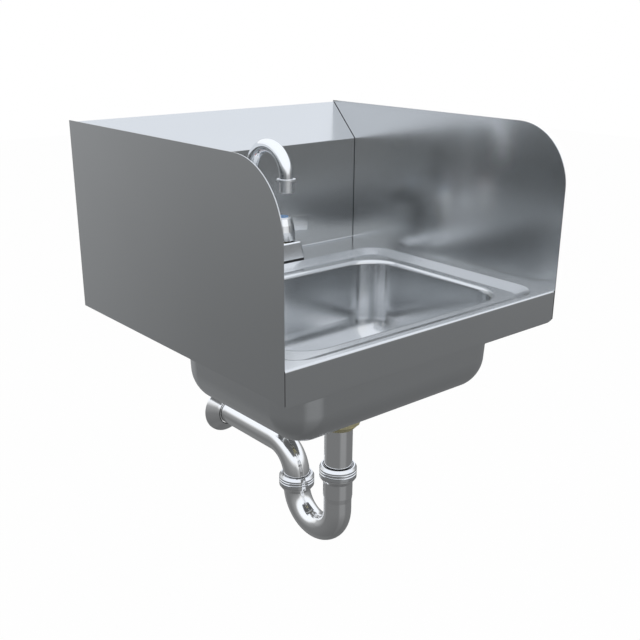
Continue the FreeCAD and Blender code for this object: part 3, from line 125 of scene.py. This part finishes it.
# ---- node helpers ---------------------------------------------------------------------------
class Nodes:
    """Short calls for building a node tree."""

    def __init__(self, tree):
        self.tree = tree

    def add(self, kind, **settings):
        node = self.tree.nodes.new("ShaderNode" + kind)
        for key, value in settings.items():
            setattr(node, key, value)
        return node

    def link(self, source, target):
        self.tree.links.new(source, target)

    def object_coordinates(self, scale):
        """Object coordinates stretched by the given scale."""
        mapping = self.add("Mapping")
        mapping.inputs["Scale"].default_value = scale
        self.link(self.add("TexCoord").outputs["Object"], mapping.inputs["Vector"])
        return mapping.outputs["Vector"]

    def noise(self, vector, scale, detail=2.0):
        node = self.add("TexNoise")
        node.inputs["Scale"].default_value = scale
        node.inputs["Detail"].default_value = detail
        self.link(vector, node.inputs["Vector"])
        return node.outputs["Fac"]

    def spread(self, value, low, high):
        """Maps the range where noise lies to low..high."""
        node = self.add("MapRange")
        node.inputs["From Min"].default_value = NOISE_LOW
        node.inputs["From Max"].default_value = NOISE_HIGH
        node.inputs["To Min"].default_value = low
        node.inputs["To Max"].default_value = high
        self.link(value, node.inputs["Value"])
        return node.outputs["Result"]

    def color_mix(self):
        """Mix node for colours. Gives (factor socket, two colour sockets, result socket)."""
        node = self.add("Mix", data_type="RGBA")
        colors = [socket for socket in node.inputs if socket.type == "RGBA"]
        result = [socket for socket in node.outputs if socket.type == "RGBA"][0]
        return node.inputs["Factor"], colors, result

    def blend(self, factor, first, second):
        """One colour to another by a factor."""
        share, colors, result = self.color_mix()
        for socket, color in zip(colors, (first, second)):
            socket.default_value = (*color, 1.0)
        self.link(factor, share)
        return result

    def bump(self, height, strength, distance):
        node = self.add("Bump")
        node.inputs["Strength"].default_value = strength
        node.inputs["Distance"].default_value = distance
        self.link(height, node.inputs["Height"])
        return node.outputs["Normal"]

    def background(self, color):
        """World shader of one colour."""
        node = self.add("Background")
        node.inputs["Color"].default_value = (*color, 1)
        return node.outputs[0]

    def shader_mix(self, factor, first, second):
        """One shader to another by a factor."""
        node = self.add("MixShader")
        self.link(factor, node.inputs["Fac"])
        self.link(first, node.inputs[1])
        self.link(second, node.inputs[2])
        return node.outputs[0]

    def seen_directly(self):
        """1 for rays that look straight at the backdrop, or through glass at it."""
        path = self.add("LightPath")
        either = self.add("Math", operation="MAXIMUM")
        self.link(path.outputs["Is Camera Ray"], either.inputs[0])
        self.link(path.outputs["Is Transmission Ray"], either.inputs[1])
        return either.outputs[0]


# ---- materials ------------------------------------------------------------------------------
def new_material(name, metallic):
    """Principled material with nothing set. Gives (material, nodes, shader)."""
    material = bpy.data.materials.new(name)
    material.use_nodes = True
    shader = material.node_tree.nodes["Principled BSDF"]
    shader.inputs["Metallic"].default_value = metallic
    return material, Nodes(material.node_tree), shader


def brushed_steel(name, grain, stretch, dark, light, rough_low, rough_high):
    """Satin sheet, brushed along one axis: grain is that direction, stretch its noise's scale."""
    material, nodes, shader = new_material(name, 1.0)
    strokes = nodes.noise(nodes.object_coordinates(stretch), STROKE_SCALE, STROKE_DETAIL)
    clouds = nodes.noise(nodes.object_coordinates(EVEN), CLOUD_SCALE)
    direction = nodes.add("CombineXYZ")
    for socket, value in zip(direction.inputs, grain):
        socket.default_value = value
    nodes.link(direction.outputs["Vector"], shader.inputs["Tangent"])
    shader.inputs["Anisotropic"].default_value = ANISOTROPY
    shader.inputs["Anisotropic Rotation"].default_value = ANISOTROPY_TURN
    nodes.link(nodes.blend(clouds, dark, light), shader.inputs["Base Color"])
    nodes.link(nodes.spread(strokes, rough_low, rough_high), shader.inputs["Roughness"])
    nodes.link(nodes.bump(strokes, *STROKE_BUMP), shader.inputs["Normal"])
    return material


def polished(name, dark, light, rough_low, rough_high):
    """Plated or polished metal with a faint unevenness."""
    material, nodes, shader = new_material(name, 1.0)
    vector = nodes.object_coordinates(EVEN)
    clouds = nodes.noise(vector, POLISH_CLOUDS)
    fine = nodes.noise(vector, POLISH_FINE)
    nodes.link(nodes.blend(clouds, dark, light), shader.inputs["Base Color"])
    nodes.link(nodes.spread(fine, rough_low, rough_high), shader.inputs["Roughness"])
    nodes.link(nodes.bump(clouds, *POLISH_BUMP), shader.inputs["Normal"])
    return material


def dull(name, dark, light, rough_low, rough_high, metallic=0.0, grain=DULL_FINE):
    """Rubber, plastic or cast surface with a fine texture."""
    material, nodes, shader = new_material(name, metallic)
    vector = nodes.object_coordinates(EVEN)
    fine = nodes.noise(vector, grain, DULL_DETAIL)
    clouds = nodes.noise(vector, DULL_CLOUDS)
    nodes.link(nodes.blend(clouds, dark, light), shader.inputs["Base Color"])
    nodes.link(nodes.spread(fine, rough_low, rough_high), shader.inputs["Roughness"])
    nodes.link(nodes.bump(fine, *DULL_BUMP), shader.inputs["Normal"])
    return material


# each one's dark and light colour, then its least and most roughness
SHEET = ((0.645, 0.657, 0.664), (0.672, 0.685, 0.692), 0.175, 0.195)
SHEET_LENGTHWAYS = brushed_steel("sheet_grain_x", ALONG_X, STRETCH_X, *SHEET)
BOWL = brushed_steel("drawn_bowl", ALONG_X, STRETCH_X,
                     (0.680, 0.692, 0.700), (0.708, 0.721, 0.729), 0.180, 0.200)
SHEET_ENDS = brushed_steel("sheet_grain_y", ALONG_Y, STRETCH_Y, *SHEET)
CHROME = polished("chrome", (0.86, 0.87, 0.88), (0.91, 0.92, 0.93), 0.08, 0.12)
TUBE = polished("tube_chrome", (0.87, 0.87, 0.87), (0.93, 0.93, 0.93), 0.09, 0.13)
SATIN = polished("satin_chrome", (0.93, 0.94, 0.95), (0.96, 0.97, 0.98), 0.28, 0.34)
NUT = polished("nut_chrome", (0.78, 0.79, 0.80), (0.84, 0.85, 0.86), 0.07, 0.10)
FITTING = polished("stainless_fitting", (0.60, 0.61, 0.62), (0.66, 0.66, 0.67), 0.16, 0.24)
ZINC = dull("zinc_plate", (0.50, 0.51, 0.50), (0.62, 0.62, 0.58), 0.32, 0.45, 1.0)
BRASS = dull("raw_brass", (0.80, 0.74, 0.46), (0.90, 0.84, 0.56), 0.42, 0.52, 1.0, CAST_FINE)
RUBBER = dull("rubber", (0.012, 0.012, 0.013), (0.022, 0.022, 0.024), 0.55, 0.75)
# near black: rubber washer lips and sealant, and painted shade in the gaps at the splash joints
# and the escutcheon
RUBBER_SEALANT_AND_GAP_SHADE = dull("rubber_sealant_and_gap_shade", (0.010, 0.010, 0.011), (0.016, 0.016, 0.018), 0.6, 0.8)
NYLON = dull("nylon", (0.78, 0.78, 0.74), (0.85, 0.85, 0.81), 0.35, 0.5)
CERAMIC = dull("ceramic", (0.82, 0.81, 0.78), (0.90, 0.89, 0.87), 0.12, 0.2)
BLUE = dull("blue_index", (0.10, 0.24, 0.48), (0.13, 0.28, 0.53), 0.25, 0.35)
RED = dull("red_index", (0.50, 0.035, 0.03), (0.57, 0.05, 0.04), 0.25, 0.35)

BY_SLOT = {
    "sheet": SHEET_LENGTHWAYS, "chrome": CHROME, "stainless_fittings": FITTING, "brass": BRASS,
    "rubber": RUBBER, "zinc_plated": ZINC, "plastic": NYLON, "ceramic": CERAMIC,
    "blue_cap": BLUE, "red_cap": RED,
}
BY_NODE = {
    "left_side_splash": SHEET_ENDS, "right_side_splash": SHEET_ENDS, "basin": BOWL,
    "tailpiece": TUBE, "j_bend": TUBE, "trap_arm": TUBE, "wall_escutcheon": TUBE,
    "aerator_housing": SATIN, "inlet_slip_nut": NUT, "outlet_slip_nut": NUT,
}


def dress_cad_nodes():
    """Gives each CAD node the material of its own, or else of its slot."""
    for part in frame["record"]["subparts"]:
        material = BY_NODE.get(part["node"], BY_SLOT[part["material_slot"]])
        node = frame["nodes"][part["node"]]
        node.data.materials.clear()
        node.data.materials.append(material)


# ---- studio ---------------------------------------------------------------------------------
def sky_levels(nodes, height, stops):
    """Light's colour by height, from pairs of height and level."""
    ramp = nodes.add("ValToRGB")
    elements = ramp.color_ramp.elements
    while len(elements) < len(stops):
        elements.new(1.0)
    for element, (sine, level) in zip(elements, stops):
        tint = SKY_TINT_HIGH if sine > SKY_TINT_SINE else SKY_TINT_LOW
        element.position = (sine + 1) / 2
        element.color = (*(level * share for share in tint), 1)
    nodes.link(height, ramp.inputs["Fac"])
    return ramp.outputs["Color"]


def sky(nodes):
    """Graded colour by height, from the sides' levels round to the ends' levels."""
    direction = nodes.add("TexCoord").outputs["Generated"]
    upright = nodes.add("SeparateXYZ")
    nodes.link(direction, upright.inputs[0])
    height = nodes.add("MapRange")
    height.inputs["From Min"].default_value = -1.0
    nodes.link(upright.outputs["Z"], height.inputs["Value"])
    level = nodes.add("VectorMath", operation="MULTIPLY")
    level.inputs[1].default_value = (1, 1, 0)
    nodes.link(direction, level.inputs[0])
    around = nodes.add("VectorMath", operation="NORMALIZE")
    nodes.link(level.outputs["Vector"], around.inputs[0])
    flat = nodes.add("SeparateXYZ")
    nodes.link(around.outputs["Vector"], flat.inputs[0])
    facing = nodes.add("Math", operation="ABSOLUTE")
    nodes.link(flat.outputs["Y"], facing.inputs[0])
    turn = nodes.add("MapRange")
    turn.inputs["From Min"].default_value, turn.inputs["From Max"].default_value = SKY_TURN
    nodes.link(facing.outputs[0], turn.inputs["Value"])
    share, (sides, ends), result = nodes.color_mix()
    nodes.link(turn.outputs["Result"], share)
    nodes.link(sky_levels(nodes, height.outputs["Result"], SKY_SIDES), sides)
    nodes.link(sky_levels(nodes, height.outputs["Result"], SKY_ENDS), ends)
    return result


def make_world():
    """White backdrop, with even light for paint and the graded sky for metal."""
    world = bpy.data.worlds.new("studio")
    world.use_nodes = True
    bpy.context.scene.world = world
    nodes = Nodes(world.node_tree)
    graded = nodes.add("Background")
    nodes.link(sky(nodes), graded.inputs["Color"])
    lit = nodes.shader_mix(nodes.add("LightPath").outputs["Is Glossy Ray"],
                           nodes.background(PLAIN_LIGHT), graded.outputs[0])
    mix = nodes.shader_mix(nodes.seen_directly(), lit, nodes.background(WHITE))
    nodes.link(mix, world.node_tree.nodes["World Output"].inputs["Surface"])


def make_floor():
    """Pale floor that keeps the sink's soft shadow and is nearly white to the camera."""
    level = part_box("j_bend")[0][2] - FLOOR_DROP
    bpy.ops.mesh.primitive_plane_add(size=FLOOR_SIZE, location=(0, 0, level))
    floor = bpy.context.object
    floor.name = "floor"
    floor.visible_glossy = False
    material = bpy.data.materials.new("floor")
    material.use_nodes = True
    tree = material.node_tree
    tree.nodes.remove(tree.nodes["Principled BSDF"])
    nodes = Nodes(tree)
    paint = nodes.add("BsdfDiffuse")
    paint.inputs["Color"].default_value = (*FLOOR_COLOR, 1)
    glow = nodes.add("Emission")
    share = nodes.add("Math", operation="MULTIPLY")
    share.inputs[1].default_value = FLOOR_WHITE
    nodes.link(nodes.seen_directly(), share.inputs[0])
    mix = nodes.shader_mix(share.outputs[0], paint.outputs[0], glow.outputs[0])
    nodes.link(mix, tree.nodes["Material Output"].inputs["Surface"])
    floor.data.materials.append(material)


def softbox(name, place, target, width, height, power):
    """Rectangular area light aimed at a point. The metals don't mirror it."""
    data = bpy.data.lights.new(name, "AREA")
    data.shape = "RECTANGLE"
    data.size, data.size_y = width, height
    data.energy = power
    light = bpy.data.objects.new(name, data)
    light.location = place
    light.rotation_mode = "QUATERNION"
    light.rotation_quaternion = (Vector(target) - Vector(place)).to_track_quat("-Z", "Y")
    light.visible_glossy = False
    bpy.context.collection.objects.link(light)


def make_camera():
    """Camera of the photograph."""
    data = bpy.data.cameras.new("camera")
    data.sensor_width = SENSOR_WIDTH
    data.lens = LENS
    data.shift_x, data.shift_y = SHIFT_X, SHIFT_Y
    data.clip_start, data.clip_end = CLIP_START, CLIP_END
    camera = bpy.data.objects.new("camera", data)
    turn = (Matrix.Rotation(math.radians(-CAMERA_AZIMUTH), 4, "Z")
            @ Matrix.Rotation(math.radians(90 - CAMERA_PITCH), 4, "X")
            @ Matrix.Rotation(math.radians(CAMERA_ROLL), 4, "Z"))
    camera.matrix_world = Matrix.Translation(CAMERA_PLACE) @ turn
    bpy.context.collection.objects.link(camera)
    bpy.context.scene.camera = camera


# ---- pieces that only the looks need --------------------------------------------------------
def dark_piece(piece, name):
    """Names a dark piece (rubber, sealant, or painted shade in a gap) and hangs it on the sink."""
    piece.name = name
    piece.data.materials.append(RUBBER_SEALANT_AND_GAP_SHADE)
    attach(piece, "sink")


def middle(low, high):
    return (low + high) / 2


def seam_and_shade_beads():
    """Dark beads where the backsplash meets the side splashes: a sealed joint, near black as
    painted shade in the corner's gap.
    """
    wall_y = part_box("backsplash")[1][1]
    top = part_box("right_side_splash")[1][2] + SPLASH_BELOW_SLOPE
    face_y = wall_y - SPLASH_SETBACK
    fold = top - SLOPE_RISE
    slope = Vector((0, -SLOPE_RISE, SPLASH_SETBACK)).normalized()
    front = Vector((0, -1, 0))
    mitre = (slope + front) / (1 + slope.dot(front))
    profile = [((face_y, fold - SPLASH_RISE), front), ((face_y, fold), mitre),
               ((wall_y - SLOPE_END, top - SLOPE_END), slope)]
    ring = BEAD_STEPS + 2
    for side, splash in ((-1, "left_side_splash"), (1, "right_side_splash")):
        low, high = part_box(splash)
        face_x = low[0] if side > 0 else high[0]
        points, faces = [], []
        for (y, z), out in profile:
            corner = Vector((face_x, y, z))
            points.append(corner + Vector((side, 0, 0)) * BEAD_SUNK - out * BEAD_SUNK)
            for step in range(BEAD_STEPS + 1):
                turn = math.radians(90) * step / BEAD_STEPS
                away = Vector((-side, 0, 0)) * (1 - math.cos(turn)) + out * (1 - math.sin(turn))
                points.append(corner + away * BEAD_SIZE)
        for row in range(len(profile) - 1):
            for step in range(ring):
                a, b = row * ring + step, row * ring + (step + 1) % ring
                faces.append((a, b, b + ring, a + ring))
        faces.append(tuple(range(ring))[::-1])
        faces.append(tuple(range((len(profile) - 1) * ring, len(profile) * ring)))
        if side > 0:              # mirrored, so the faces turn over
            faces = [face[::-1] for face in faces]
        name = splash + "_seam"
        mesh = bpy.data.meshes.new(name)
        mesh.from_pydata(points, [], faces)
        bead = bpy.data.objects.new(name, mesh)
        bpy.context.collection.objects.link(bead)
        # near black: the joint's sealant, and painted shade in the corner's gap
        dark_piece(bead, name)


def front_gap_shades():
    """Dark strip where each side splash's edge meets the apron's end: painted shade in the gap
    between them.
    """
    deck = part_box("left_side_splash")[1][2] - SLOPE_RISE - SPLASH_RISE
    for splash in ("left_side_splash", "right_side_splash"):
        low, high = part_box(splash)
        inner = high[0] if high[0] < 0 else low[0]
        bpy.ops.mesh.primitive_cylinder_add(
            vertices=FRONT_GAP_SHADE_SIDES, radius=FRONT_GAP_SHADE, depth=deck - low[2],
            location=(inner, low[1] + FRONT_GAP_SHADE / 2, middle(deck, low[2])))
        # near-black strip: painted shade in the gap at the apron's end
        dark_piece(bpy.context.object, splash + "_front_seam")


def dark_ring(name, place, width, turn):
    """Thin dark ring round a tube, in the gap between the tube and its cover: a rubber washer's
    lip at a nut, painted shade in the escutcheon's neck.
    """
    bpy.ops.mesh.primitive_torus_add(
        major_radius=RING_RADIUS, minor_radius=width, major_segments=RING_SEGMENTS,
        minor_segments=RING_SIDES, location=place, rotation=(turn, 0, 0))
    dark_piece(bpy.context.object, name)


def tube_rings():
    """Edges of the slip washers over their nuts, and a dark ring of painted shade in the gap in
    the escutcheon's neck.
    """
    for nut, width in (("inlet_slip_nut", DARK_RING_WIDTH), ("outlet_slip_nut", WASHER_LIP_THIN)):
        low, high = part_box(nut)
        place = (middle(low[0], high[0]), middle(low[1], high[1]), high[2])
        dark_ring(nut.replace("nut", "washer_lip"), place, width, 0)
    # the escutcheon's dark ring paints the shade in the gap round the tube
    low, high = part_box("wall_escutcheon")
    place = (middle(low[0], high[0]), low[1], middle(low[2], high[2]))
    dark_ring("escutcheon_gap_shade_ring", place, DARK_RING_WIDTH, math.radians(90))


# ---- put together ---------------------------------------------------------------------------
dress_cad_nodes()
make_world()
make_floor()
seam_and_shade_beads()
front_gap_shades()
tube_rings()
for box in SOFTBOXES:
    softbox(*box)
make_camera()
bpy.context.scene.view_settings.view_transform = "Standard"
